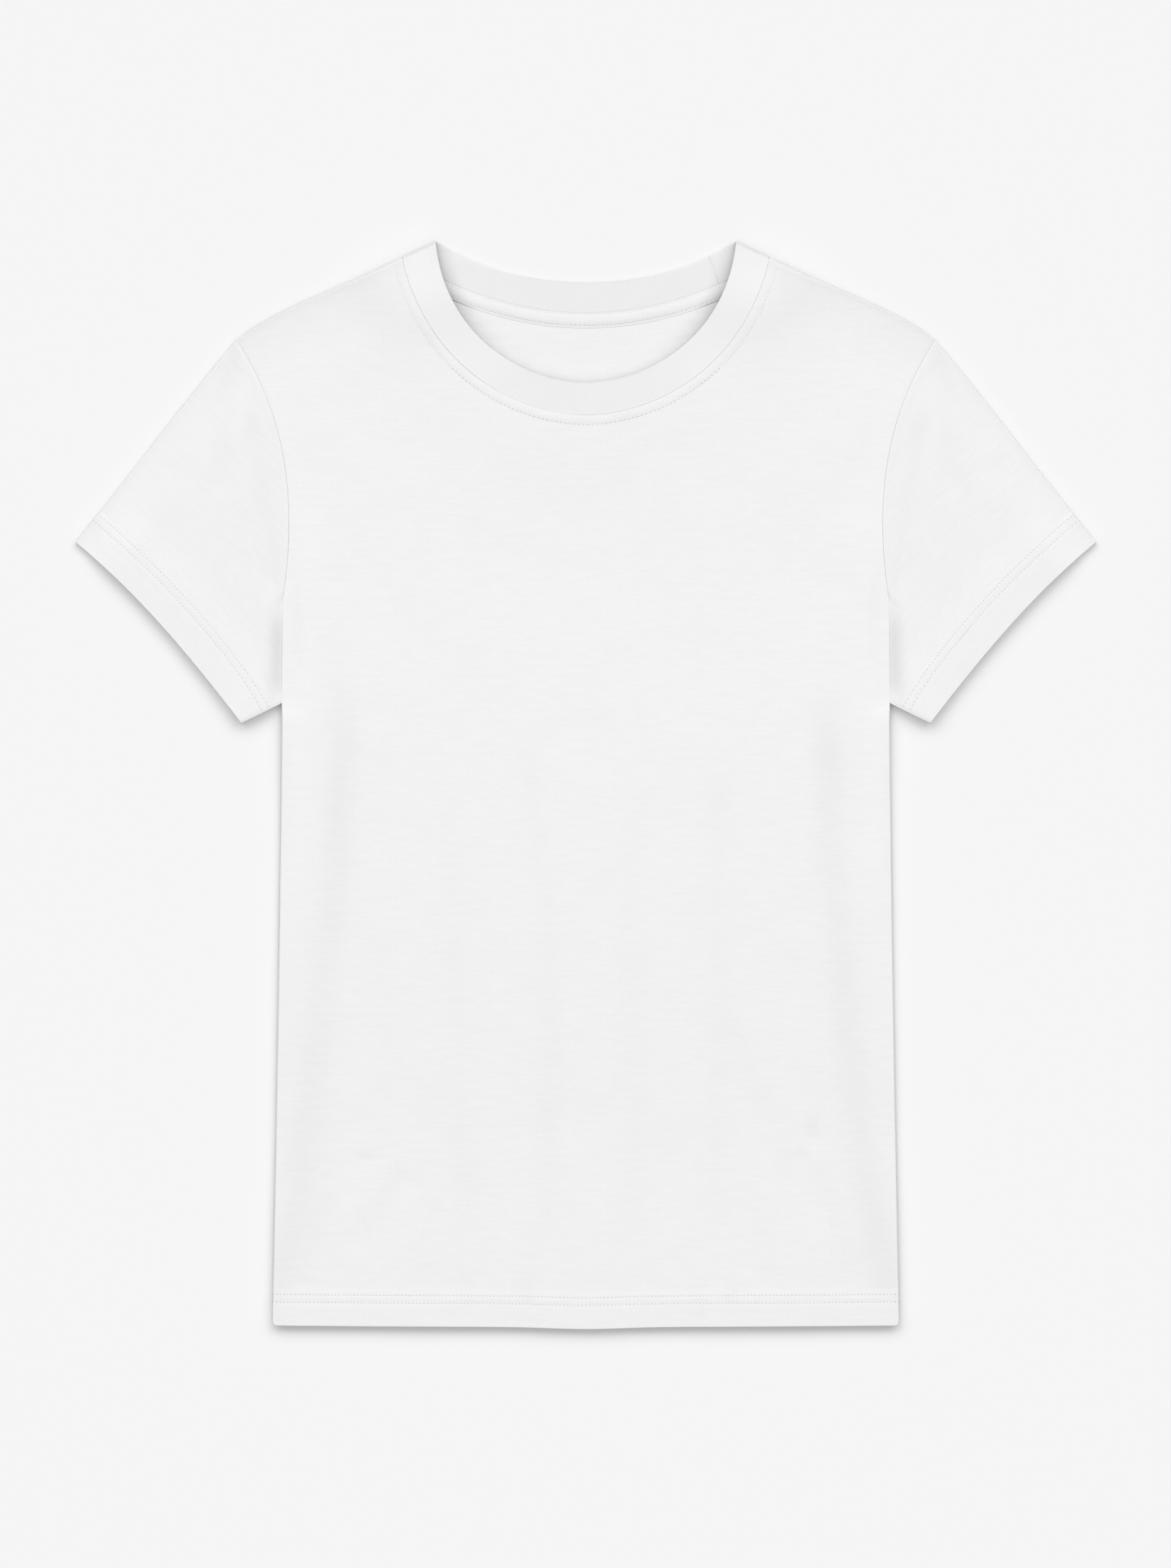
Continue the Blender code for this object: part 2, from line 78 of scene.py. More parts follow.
def curveAt(curve, t):
    t = np.asarray(t)[:, None]
    a, b, c, d = (np.array(point) for point in curve)
    return a * (1 - t) ** 3 + b * 3 * t * (1 - t) ** 2 + c * 3 * t * t * (1 - t) + d * t ** 3


def curveLine(curve, count=400):
    return curveAt(curve, np.linspace(0, 1, count))


def lengthsOf(line):
    return np.concatenate([[0.0], np.cumsum(np.linalg.norm(np.diff(line, axis=0), axis=1))])


def along(line, lengths):  # points at these lengths along a line
    measured = lengthsOf(line)
    return np.column_stack([np.interp(lengths, measured, axis) for axis in line.T])


def squareOff(line, distance):  # the line moved sideways, to the left of its run
    run = np.gradient(line, axis=0)
    run /= np.hypot(run[:, 0], run[:, 1])[:, None]
    return line + np.column_stack([-run[:, 1], run[:, 0]]) * distance


def bothSides(half):  # a half line from the centre out, made whole
    return np.vstack([half[:0:-1] * (-1, 1), half])


def nearLine(x, y, line):  # distance to a line and the length along it
    line = np.asarray(line, float)
    measured = lengthsOf(line)
    best = np.full(len(x), 9.0)
    place = np.zeros(len(x))
    for (ax, ay), (bx, by), start in zip(line[:-1], line[1:], measured[:-1]):
        dx, dy = bx - ax, by - ay
        size = np.hypot(dx, dy)
        share = np.clip(((x - ax) * dx + (y - ay) * dy) / size ** 2, 0.0, 1.0)
        away = np.hypot(x - ax - share * dx, y - ay - share * dy)
        closer = away < best
        best = np.where(closer, away, best)
        place = np.where(closer, start + share * size, place)
    return best, place


def softNoise(x, y, size, seed):  # slow hills and hollows about size metres apart
    return np.array([noise.noise((px / size, py / size, seed)) for px, py in zip(x, y)])


armholeLine = curveLine(cut["armhole"])
shoulderLine = curveLine(cut["shoulder"])
frontNeckLine = curveLine(cut["frontNeck"])
backNeckLine = curveLine(cut["backNeck"])
edgeLine = np.vstack([curveLine(cut["side"]), armholeLine[1:]])
hemY = cut["side"][0][1]
underarmY = cut["side"][3][1]
neckPoint = np.array(cut["shoulder"][0])
hornTip = np.array(cut["frontFree"][3])


def halfWidth(y):
    return np.interp(y, edgeLine[:, 1], edgeLine[:, 0])


def hemLine(x):
    return hemY - cut["hemBow"] * (1.2 - (x / 0.18) ** 2) - cut["hemDip"] * bump(x, 0.032)


def shoulderY(x):
    slope = (hornTip[1] - neckPoint[1]) / (neckPoint[0] - hornTip[0])
    onBand = neckPoint[1] + slope * (neckPoint[0] - x)
    return np.where(x < neckPoint[0], onBand, np.interp(x, shoulderLine[:, 0], shoulderLine[:, 1]))


tuck = {"lift": 0.0022, "height": 0.0019}


def tuckLift(x, y, low=0.022):  # the body's side lies on the sleeve behind it
    inward = fade(0.014, 0.046, halfWidth(np.minimum(y, 0.15)) - np.abs(x))
    return tuck["lift"] * inward * smoothStep(low, 0.05, y) * fade(0.112, 0.2, y)


# each fold: its points, how deep it is (a ridge is less than 0), how wide, and how much painted
# shade lies along it (painted light where less than 0)
frontFolds = (
    (((-0.1504, 0.054), (-0.1495, 0.021), (-0.1549, -0.045), (-0.1575, -0.085),
      (-0.1629, -0.125), (-0.1682, -0.178), (-0.1735, -0.218), (-0.1785, -0.272),
      (-0.1878, -0.307), (-0.1925, -0.332)), 0.0013, 0.01, 0.037),
    (((0.1492, 0.046), (0.1519, -0.045), (0.157, -0.085), (0.16, -0.125), (0.1652, -0.178),
      (0.169, -0.218), (0.1762, -0.268), (0.1834, -0.304), (0.1895, -0.33)), 0.0012, 0.0098,
      0.039),
    (((-0.085, 0.0), (-0.083, -0.11), (-0.081, -0.2), (-0.074, -0.3)), 0.0004, 0.009, 0.01),
    (((-0.036, 0.03), (-0.0335, -0.02), (-0.0275, -0.066), (-0.0235, -0.11), (-0.0225, -0.174),
      (-0.024, -0.25), (-0.027, -0.31)), 0.0005, 0.0065, 0.013),
    (((0.032, -0.01), (0.029, -0.12), (0.031, -0.215), (0.028, -0.305)), 0.0004, 0.009, 0.009),
    (((0.084, 0.004), (0.0815, -0.09), (0.085, -0.19), (0.08, -0.3)), 0.0005, 0.009, 0.009),
    (((0.09, -0.15), (0.096, -0.18), (0.11, -0.215), (0.126, -0.255)), 0.0005, 0.009, 0.005),
    (((-0.112, -0.24), (-0.123, -0.262), (-0.142, -0.292)), 0.0005, 0.0085, 0.008),
    (((-0.16, -0.255), (-0.168, -0.282), (-0.179, -0.316)), 0.0004, 0.006, 0.014),
    (((0.145, -0.24), (0.154, -0.272), (0.166, -0.312)), 0.0004, 0.0065, 0.013),
    (((-0.095, -0.262), (-0.102, -0.31)), 0.0003, 0.006, 0.008),
    (((0.108, -0.268), (0.115, -0.314)), 0.0003, 0.0055, 0.008),
    (((0.1408, -0.211), (0.1427, -0.224)), 0.0008, 0.0042, 0.026),
    (((0.1372, -0.23), (0.135, -0.235)), 0.0007, 0.0042, 0.022),
    (((-0.1389, -0.231), (-0.1372, -0.237)), 0.0007, 0.0048, 0.024),
    (((-0.18, 0.126), (-0.1806, 0.102), (-0.1796, 0.072)), 0.0002, 0.0026, 0.016),
    (((0.179, 0.13), (0.18, 0.104), (0.1798, 0.078)), 0.0002, 0.0028, 0.017),
    (((-0.165, 0.205), (-0.16, 0.16), (-0.156, 0.12)), 0.0004, 0.012, 0.003),
    (((0.17, 0.21), (0.163, 0.17), (0.16, 0.115)), 0.0004, 0.013, 0.003),
    (((-0.074, -0.306), (-0.0725, -0.336)), 0.0004, 0.0034, 0.018),
    (((-0.0374, -0.312), (-0.037, -0.338)), 0.0003, 0.0032, 0.015),
    (((0.0725, -0.308), (0.0718, -0.336)), 0.0003, 0.0032, 0.014),
    (((0.0903, -0.311), (0.0912, -0.335)), 0.0004, 0.0034, 0.017),
)
backFolds = (
    (((-0.147, 0.08), (-0.15, -0.03), (-0.156, -0.15), (-0.17, -0.29)), -0.0006, 0.011, 0.014),
    (((0.15, 0.07), (0.148, -0.06), (0.16, -0.19), (0.169, -0.28)), -0.0005, 0.01, 0.012),
    (((-0.05, -0.03), (-0.046, -0.15), (-0.054, -0.29)), -0.0004, 0.013, 0.006),
    (((0.061, 0.01), (0.056, -0.11), (0.062, -0.27)), -0.0004, 0.012, 0.006),
    (((-0.09, 0.255), (-0.03, 0.238), (0.035, 0.24), (0.088, 0.25)), -0.0003, 0.012, 0.005),
)
sleeveFolds = (
    (((0.2187, 0.268), (0.2254, 0.2427), (0.2289, 0.2073), (0.2311, 0.18)), 0.0009, 0.005,
      0.017),
    (((0.2112, 0.2294), (0.2055, 0.1895), (0.2001, 0.154), (0.1957, 0.1186)), 0.0008, 0.0056,
      0.014),
    (((0.2165, 0.24), (0.2175, 0.212), (0.215, 0.178)), -0.0002, 0.005, -0.006),
    (((0.252, 0.205), (0.26, 0.17), (0.262, 0.135)), 0.0004, 0.009, 0.004),
    (((0.23, 0.125), (0.224, 0.095), (0.215, 0.07)), 0.0004, 0.008, 0.004),
)


def foldRelief(x, y, folds):  # height to take off, and the painted shade along the folds (painted light where it is less than 0)
    height = np.zeros(len(x))
    dark = np.zeros(len(x))
    for number, (points, depth, reach, shade) in enumerate(folds):
        line = np.array(points)
        away, place = nearLine(x, y, line)
        share = place / lengthsOf(line)[-1]
        uneven = 1 + 0.3 * np.sin(share * 9.0 + number * 1.7) * np.sin(share * 4.1 + number)
        ends = np.clip(np.minimum(share, 1 - share) * 8 + 0.25, 0.0, 1.0)
        strength = bump(away, reach * (0.85 + 0.25 * share)) * uneven * ends
        height += depth * strength
        dark += shade * strength
    return height, dark


# meshes

mergeDistance = 0.000004


def layGrid(sheet, places):  # a grid whose points take their places from an array
    lastColumn, lastRow = places.shape[0] - 1, places.shape[1] - 1
    number = sheet.verts.layers.int.get("number") or sheet.verts.layers.int.new("number")
    made = bmesh.ops.create_grid(sheet, x_segments=lastColumn, y_segments=lastRow, size=1.0)
    for corner in made["verts"]:
        column = round((corner.co.x + 1) / 2 * lastColumn)
        row = round((corner.co.y + 1) / 2 * lastRow)
        corner.co = places[column, row]
        corner[number] = column * (lastRow + 1) + row


def finishSheet(sheet, name, faceUp=None):
    bmesh.ops.remove_doubles(sheet, verts=sheet.verts, dist=mergeDistance)
    bmesh.ops.recalc_face_normals(sheet, faces=sheet.faces)
    if faceUp is None:  # a tube or ring: its highest face looks up
        wrong = max(sheet.faces, key=lambda face: face.calc_center_median().z).normal.z < 0
    else:
        wrong = (sum(face.normal.z * face.calc_area() for face in sheet.faces) > 0) != faceUp
    if wrong:
        bmesh.ops.reverse_faces(sheet, faces=sheet.faces)
    mesh = bpy.data.meshes.new(name)
    sheet.to_mesh(mesh)
    sheet.free()
    mesh.shade_smooth()
    piece = bpy.data.objects.new(name, mesh)
    bpy.context.scene.collection.objects.link(piece)
    return piece


def gridSheet(name, places, faceUp=None):
    sheet = bmesh.new()
    layGrid(sheet, places)
    return finishSheet(sheet, name, faceUp)


def gridNumbers(piece):  # which place of the array each point was laid at
    order = np.zeros(len(piece.data.vertices), np.int32)
    piece.data.attributes["number"].data.foreach_get("value", order)
    return order


def readPoints(piece):
    flat = np.zeros(len(piece.data.vertices) * 3)
    piece.data.vertices.foreach_get("co", flat)
    return flat.reshape(-1, 3)


def paint(piece, name, values):  # a number or a vector for each point, for the material
    values = np.asarray(values, np.float32)
    kind, key = "FLOAT", "value"
    if values.ndim > 1:
        kind, key = "FLOAT_VECTOR", "vector"
        values = np.column_stack([values, np.zeros(len(values), np.float32)])
    layer = piece.data.attributes.new(name, kind, "POINT")
    layer.data.foreach_set(key, values.ravel())


def thicken(piece, thickness, weights=None):
    wall = piece.modifiers.new("cloth", "SOLIDIFY")
    wall.thickness = thickness
    wall.offset = -1
    wall.use_rim = True
    if weights is not None:
        group = piece.vertex_groups.new(name="thickness")
        for index, weight in enumerate(weights):
            group.add([index], float(weight), "REPLACE")
        wall.vertex_group = "thickness"


def thickenHem(piece, doubled):  # one layer of cloth, and two where doubled is 1
    thin = cut["cloth"] / cut["hemCloth"]
    thicken(piece, cut["hemCloth"], thin + (1 - thin) * doubled)


def putOn(piece, node, material):
    piece.data.materials.append(material)
    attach(piece, "root")
    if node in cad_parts:
        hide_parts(node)


# body panels

panel = {
    "step": 0.0032, "fanRows": 32,
    "edgeSteps": (0.0, 0.0001, 0.0003, 0.0006, 0.001, 0.0015, 0.0022, 0.0033, 0.005, 0.0075),
    "neckSteps": (0.0, 0.0003, 0.0007, 0.0013, 0.0022, 0.0034, 0.0046, 0.0054, 0.0059, 0.0064,
                  0.0072, 0.0086, 0.0105, 0.013),
    "hemSteps": (0.0, 0.0001, 0.0003, 0.0006, 0.0011, 0.0018, 0.0028, 0.004, 0.008, 0.0115,
                 0.0133, 0.014, 0.0144, 0.0148, 0.0155, 0.0169, 0.0183, 0.0189, 0.0193, 0.0197,
                 0.0204, 0.022, 0.0245, 0.028),
}


def panelPlan(neckLine):  # half a body panel: fanned out round the neck, straight below
    fine = np.array(panel["edgeSteps"])

    def evenThenFine(length, count=None):
        count = count or round((length - fine[-1]) / panel["step"])
        return np.concatenate([np.linspace(0, length - fine[-1], count + 1)[:-1],
                               length - fine[::-1]])

    across = halfWidth(underarmY)
    flat = evenThenFine(across)
    upArm = evenThenFine(lengthsOf(armholeLine)[-1])
    outer = np.vstack([np.column_stack([flat, np.full(len(flat), underarmY)]),
                       along(armholeLine, upArm[1:])])
    neckStops = evenThenFine(lengthsOf(neckLine)[-1], len(outer) - len(fine))

    nearNeck = np.array(panel["neckSteps"])
    shoulderTip = np.array(cut["shoulder"][3])
    fan = np.zeros((len(outer), len(nearNeck) + panel["fanRows"] + len(fine), 3))
    for column, (start, end) in enumerate(zip(along(neckLine, neckStops), outer)):
        length = np.hypot(*(end - start))
        between = np.linspace(nearNeck[-1], length - fine[-1], panel["fanRows"] + 2)[1:-1]
        stops = np.concatenate([nearNeck, between, length - fine[::-1]]) / length
        chord = neckPoint + (shoulderTip - neckPoint) * stops[:, None]
        bow = along(shoulderLine, stops * lengthsOf(shoulderLine)[-1]) - chord
        fan[column, :, :2] = (start + (end - start) * stops[:, None]
                              + bow * (column / (len(outer) - 1)) ** 8)
    fan[0, :, 0] = 0.0

    nearHem = np.array(panel["hemSteps"])
    depth = underarmY - hemY
    count = round((depth - nearHem[-1]) / (panel["step"] * 1.1)) + 1
    rows = np.concatenate([nearHem[:-1], np.linspace(nearHem[-1], depth, count)])
    lower = np.zeros((len(flat), len(rows), 3))
    radius = cut["hemCornerRadius"]
    for row, above in enumerate(rows):
        inset = radius - np.sqrt(radius ** 2 - max(0.0, radius - above) ** 2)
        x = flat / across * (halfWidth(hemY + above) - inset)
        bottom = hemLine(x)
        lower[:, row, 0] = x
        lower[:, row, 1] = bottom + (underarmY - bottom) * above / depth
    return fan, lower


def makePanel(name, neckLine, faceUp):
    sheet = bmesh.new()
    for places in panelPlan(neckLine):
        layGrid(sheet, places)
    bmesh.ops.remove_doubles(sheet, verts=sheet.verts, dist=mergeDistance)
    bmesh.ops.mirror(sheet, geom=sheet.verts[:] + sheet.edges[:] + sheet.faces[:], axis="X",
                     merge_dist=mergeDistance)
    return finishSheet(sheet, name, faceUp)


front = {
    "centreHeight": 0.0034, "neckRise": 0.0017, "hemRise": 0.002, "yokeRise": 0.0008,
    "sideRoll": 0.0007, "rim": 0.0012, "sideRound": 0.0009, "hemRound": 0.0004,
    "outset": 0.0004, "shoulderHeight": 0.0027, "shoulderSlope": 0.05,
    "neckPointHeight": 0.005, "neckPointRound": 0.0026, "neckArch": 0.0028,
    "onSleeveHeight": 0.0042, "seamDrop": 0.00008, "seamReach": 0.0003,
    "neckRow": 0.0058, "hemRows": (0.0145, 0.0193), "rowDip": 0.00014, "rowReach": 0.0007,
    # painted shade, and painted light where sideLight takes it off; lowerDark and hemDark darken
    # towards the hem
    "seamDark": 0.05, "seamShadeNearShoulders": 0.07, "underNeckDark": 0.155, "shoulderDark": 0.05,
    "yokeDark": 0.045, "sideLight": 0.018, "cornerDark": 0.012, "lowerDark": 0.024,
    "hemDark": 0.006,
}
back = {"inset": 0.0008, "insetReach": 0.008, "yokeDark": 0.014}


def seamRelief(away, ridge, ridgeAt):  # cloth that rolls down into a seam
    drop = front["seamDrop"] * (1 - rounded(away, front["seamReach"]))
    return ridge * bump(away - ridgeAt, ridgeAt * 0.9) - drop


def rowDips(away, rows, reach=front["rowReach"]):  # how far rows of stitching pull it in
    return front["rowDip"] * sum(bump(away - row, reach) for row in rows)


def neckArch(x, y):  # the neck stands up a little where the rib turns to the back
    away = np.hypot(np.abs(x) - 0.1045, y - 0.3355)
    return front["neckArch"] * bump(away - 0.033, 0.025)


def onSleeve(y, upper, top):  # 1 where the side of the body lies against the sleeve
    return smoothStep(0.04, 0.052, y) * fade(upper, top, y)


def onSide(y):  # 1 down the side seam, 0 along the armhole
    return fade(0.112, 0.128, y)


def underNeck(x, y):  # the shade beneath the front neckband, deepest at its two corners
    away = nearLine(np.abs(x), y, curveLine(cut["frontFree"], 60))[0]
    corner = fade(0.0022, 0.0118, away) * smoothStep(0.258, 0.296, y)
    corner = corner * (1 - 0.4 * smoothStep(0.3, 0.335, y))
    return front["underNeckDark"] * corner + 0.025 * fade(0, 0.0022, away)


def panelEdges(x, y):  # how far a point is from the side, shoulder, armhole and hem
    across = np.abs(x)
    side = np.maximum(halfWidth(y) - across, 0.0)
    shoulder = np.maximum((shoulderY(across) - y) * np.cos(radians(26)), 0.0)
    armhole = nearLine(across, y, armholeLine[::8])[0]
    return side, shoulder, armhole, y - hemLine(x)


def neckSeamDark(x):  # painted shade in the neck seam, deeper towards the shoulders
    return front["seamDark"] + front["seamShadeNearShoulders"] * smoothStep(0.035, 0.085, np.abs(x))


def frontHeight(x, y):  # and the painted shade and painted light on it
    across = np.abs(x)
    side, shoulder, armhole, hem = panelEdges(x, y)
    ring = np.maximum(0.0, np.hypot(across / 1.15, y - 0.34) - 0.098)
    height = front["centreHeight"] + front["neckRise"] * fade(0, 0.075, ring)
    height += front["hemRise"] * fade(-0.338, -0.215, y)
    height += front["yokeRise"] * smoothStep(0.12, 0.2, y)
    lift = tuckLift(x, y, -0.04)
    roll = front["sideRoll"] * bump(side - 0.008, 0.012) * (1 - 0.6 * lift / tuck["lift"])
    height += lift + roll * fade(0.11, 0.18, y) * (1 - 0.7 * fade(-0.318, -0.3, y))
    folds, dark = foldRelief(x, y, frontFolds)
    height -= folds
    height += 0.00022 * softNoise(x, y, 0.06, 2.0) + 0.0001 * softNoise(x, y, 0.022, 7.0)

    atNeck = fade(0, 0.05, across - neckPoint[0])
    thin = blend(front["shoulderHeight"], front["neckPointHeight"], atNeck)
    atShoulder = fade(0, front["shoulderSlope"], shoulder) * smoothStep(0.1, 0.2, y)
    height = blend(height, thin, atShoulder)

    fromNeck, _ = nearLine(x, y, bothSides(frontNeckLine[::8]))
    height += neckArch(x, y) * fade(0, 0.07, fromNeck)
    height += seamRelief(fromNeck, 0.00012, 0.0026) + seamRelief(armhole, 0.0002, 0.0028)
    height += 0.0002 * fade(0.0056, 0.0072, fromNeck) - rowDips(fromNeck, [front["neckRow"]])
    height += 0.0003 * fade(0.0196, 0.0225, hem) - rowDips(hem, front["hemRows"])
    height -= 0.0004 * (1 - rounded(hem, front["hemRound"]))

    atSleeve = fade(0, 0.018, side) * onSleeve(y, 0.1, 0.175)
    height = blend(height, front["onSleeveHeight"], atSleeve)
    rim = front["rim"] + tuckLift(x, y)
    rim = blend(rim, front["onSleeveHeight"] - 0.0001, onSleeve(y, 0.13, 0.15))
    roundSide = 1 - onSide(y) * (1 - rounded(side, front["sideRound"]))
    shoulderRound = blend(front["sideRound"], front["neckPointRound"], atNeck)
    height = blend(rim, height, roundSide * rounded(shoulder, shoulderRound))

    # painted shade along the shoulder edge and beside it, in the seams and in the lower corners,
    # painted light beside the sides, and darker towards the hem
    dark += front["shoulderDark"] * bump(shoulder, 0.0035)
    dark += front["yokeDark"] * bump(shoulder, 0.03)
    dark += neckSeamDark(x) * bump(fromNeck, 0.0003) + front["seamDark"] * bump(armhole, 0.0003)
    besideSide = smoothStep(0.002, 0.009, side) * fade(0.01, 0.04, side)
    dark -= front["sideLight"] * besideSide * bump(y - 0.012, 0.062)
    dark += front["cornerDark"] * fade(0, 0.014, side) * fade(-0.29, -0.255, y)
    dark += front["lowerDark"] * fade(-0.3, 0.15, y) + front["hemDark"] * fade(-0.31, -0.24, y)
    return height, dark


def backHeight(x, y):  # it lies on the table, so its creases are gentle and upward
    side, _, armhole, hem = panelEdges(x, y)
    folds, dark = foldRelief(x, y, backFolds)
    fromNeck, _ = nearLine(x, y, bothSides(backNeckLine[::8]))
    height = tuckLift(x, y) - folds + rowDips(hem, front["hemRows"])
    height += rowDips(fromNeck, tape["rows"], tape["rowReach"])
    height += 0.0004 * (1 - rounded(side, 0.003)) * onSide(y)
    height += 0.0004 * (1 - rounded(armhole, 0.001)) + 0.0002 * (1 - rounded(hem, 0.001))
    # painted shade along its folds and beneath the front neckband, and darker towards the neck
    return height, dark + underNeck(x, y) + back["yokeDark"] * smoothStep(0.2, 0.26, y)


def dressPanel(piece, heightOf, neckLine, node, material):
    points = readPoints(piece)
    x, y = points[:, :2].T.copy()
    points[:, 2], dark = heightOf(x, y)
    side, shoulder, armhole, hem = panelEdges(x, y)
    if node == "back":  # its edge stands in a little, under the front's
        reach = back["insetReach"]
        points[:, 0] -= np.sign(x) * back["inset"] * fade(0, reach, side) * onSide(y)
        points[:, 1] += back["inset"] * fade(0, reach, hem)
        ends = smoothStep(0, reach, np.abs(x) - neckPoint[0]) * smoothStep(0, reach, armhole)
        points[:, 1] -= back["inset"] * fade(0, reach, shoulder) * ends
    else:
        points[:, 0] += np.sign(x) * front["outset"] * fade(0, 0.006, side) * onSide(y)
        points[:, 1] -= front["outset"] * fade(0, 0.006, hem)
    piece.data.vertices.foreach_set("co", points.astype(np.float32).ravel())
    piece.data.update()
    paint(piece, "grain", np.column_stack([x, y]))
    # the painted shade and painted light, for the material
    paint(piece, "dark", dark)
    away, place = nearLine(x, y, bothSides(neckLine[::8]))
    sewn = (shoulder > 0.0026) & ((y < 0.262) | (node == "back"))
    paint(piece, "neckRow", np.column_stack([place, np.where(sewn, away, away + 0.02)]))
    paint(piece, "hemRow", np.column_stack([x, hem]))
    thickenHem(piece, fade(0.0202, 0.0215, hem))
    putOn(piece, node, material)
    return piece


# sleeves

sleeve = {
    "height": 0.0044, "cuffHeight": 0.0056, "hem": 0.022, "width": 0.17, "rowLength": 0.16,
    "topHeight": 0.0028, "topSlope": 0.034, "topRound": 0.0016, "topDark": 0.05,
    "tuckRound": 0.0025, "lowRound": {1: 0.0005, -1: 0.0022}, "lowRise": 0.0009,
    "lowBow": (-0.000228, -0.000445), "troughDepth": 0.0005, "troughDark": 0.135,
    "dark": 0.014, "armholeShare": 0.727,
    "tucked": ((0.188, 0.1152), (0.1868, 0.1085), (0.1852, 0.097), (0.184, 0.085),
               (0.1834, 0.073), (0.1833, 0.062), (0.1838, 0.0544)),
    "rows": (0.0169, 0.0216),
    "swayAt": (0.0, 0.14, 0.3, 0.45, 0.6, 0.75, 0.85, 0.93, 1.0),
    "sway": (-0.0008, -0.0007, 0.0002, 0.0008, 0.0011, 0.0012, 0.0007, -0.0005, -0.0018),
    "cuffSteps": (0.0, 0.0003, 0.0007, 0.0014, 0.003, 0.0065, 0.0105, 0.014, 0.0156, 0.0164,
                  0.0169, 0.0174, 0.0182, 0.0194, 0.0206, 0.0211, 0.0216, 0.0221, 0.0229,
                  0.0245),
}


def sleeveOpening(across):  # inner edge in plan: the armhole, then the tucked edge
    count = 120
    down = np.linspace(cut["armhole"][3][1], cut["armhole"][0][1], count)
    onArm = np.column_stack([np.interp(down, armholeLine[:, 1], armholeLine[:, 0]), down])
    edge = np.vstack([onArm, sleeve["tucked"]])
    rest = np.linspace(sleeve["armholeShare"], 1, len(sleeve["tucked"]) + 1)[1:]
    shares = np.concatenate([np.linspace(0, sleeve["armholeShare"], count), rest])
    return np.column_stack([np.interp(across, shares, axis) for axis in edge.T])


def sleeveSpot(across, share):
    opening, end = sleeveOpening(across), curveAt(cut["cuff"], across)
    spot = opening + (end - opening) * share[:, None]
    tip, top = np.array(cut["sleeveTop"][0]), np.array(cut["sleeveTop"][3])
    bow = curveAt(cut["sleeveTop"], share) - (tip + (top - tip) * share[:, None])
    low = (across ** 8 * np.sin(np.pi * share))[:, None] * sleeve["lowBow"]
    return spot + bow * ((1 - across) ** 3)[:, None] + low, np.hypot(*(end - opening).T)


def hemSway(across):  # the cuff's stitching wanders a little
    return np.interp(across, sleeve["swayAt"], sleeve["sway"])


def sleeveHeights(across, share):
    spot, length = sleeveSpot(across, share)
    x, y = spot.T
    fromOpening, fromCuff = share * length, (1 - share) * length
    fromTop, fromUnder = across * sleeve["width"], (1 - across) * sleeve["width"]
    fromBody = x - halfWidth(np.minimum(y, underarmY))
    rise = fade(sleeve["hem"], sleeve["hem"] + 0.02, fromCuff)
    height = blend(sleeve["height"], sleeve["cuffHeight"], rise)
    outside = smoothStep(0.002, 0.012, fromBody)
    height += sleeve["lowRise"] * fade(0, 0.03, fromUnder) * outside
    besideBody = fade(0, 0.012, fromBody) * onSleeve(y, 0.114, 0.124)
    height = blend(height, front["onSleeveHeight"], besideBody)
    trough = bump(fromBody - 0.0034, 0.0052) * smoothStep(0.05, 0.068, y) * fade(0.09, 0.116, y)
    height -= sleeve["troughDepth"] * trough
    tucked = fade(-0.0012, 0.0002, fromBody) * fade(0.114, 0.1185, y)
    height = blend(height, tuck["height"], tucked)
    height = blend(height, sleeve["topHeight"], fade(0, sleeve["topSlope"], fromTop))
    onArm = across <= sleeve["armholeShare"] + 0.001
    edge = sleeveOpening(across)
    edgeY = np.minimum(edge[:, 1], cut["armhole"][3][1] - 0.004)
    nearSeam = fade(0, 0.016, fromOpening) * onArm
    height = blend(height, np.interp(edgeY, seamLevels, seamHeights), nearSeam)
    lower = tuckLift(*edge.T) * nearSeam
    folds, dark = foldRelief(x, y, sleeveFolds)
    free = smoothStep(0, 0.012, fromOpening) * smoothStep(0.018, 0.035, fromCuff)
    uneven = 0.0002 * softNoise(x, y, 0.045, 4.0) + 0.00008 * softNoise(x, y, 0.016, 9.0)
    height += (uneven - folds * (1 - 0.7 * tucked)) * free
    height += seamRelief(fromOpening, 0.00015, 0.0026) * onArm
    rowAway = fromCuff - hemSway(across)
    height += 0.0002 * fade(0.0214, 0.024, rowAway) - rowDips(rowAway, sleeve["rows"])
    # painted shade along the folds (painted light on a ridge), in the armhole seam, along the top
    # fold's edge and in the trough beside the body, and a little darker all over
    dark = dark * free + front["seamDark"] * bump(fromOpening, 0.0003) * onArm + sleeve["dark"]
    dark += sleeve["topDark"] * bump(fromTop, 0.0022) + sleeve["troughDark"] * trough
    return spot, lower, height, dark, fromOpening, rowAway


def cuffDoubled(rowAway):  # 1 where the cuff's hem makes the cloth double
    return fade(0.0222, 0.0235, rowAway)


# how high the front panel lies along its armhole
seamLevels = np.linspace(underarmY - 0.006, cut["armhole"][3][1], 80)
seamHeights = frontHeight(halfWidth(seamLevels) - 0.003, seamLevels)[0] + 0.0001


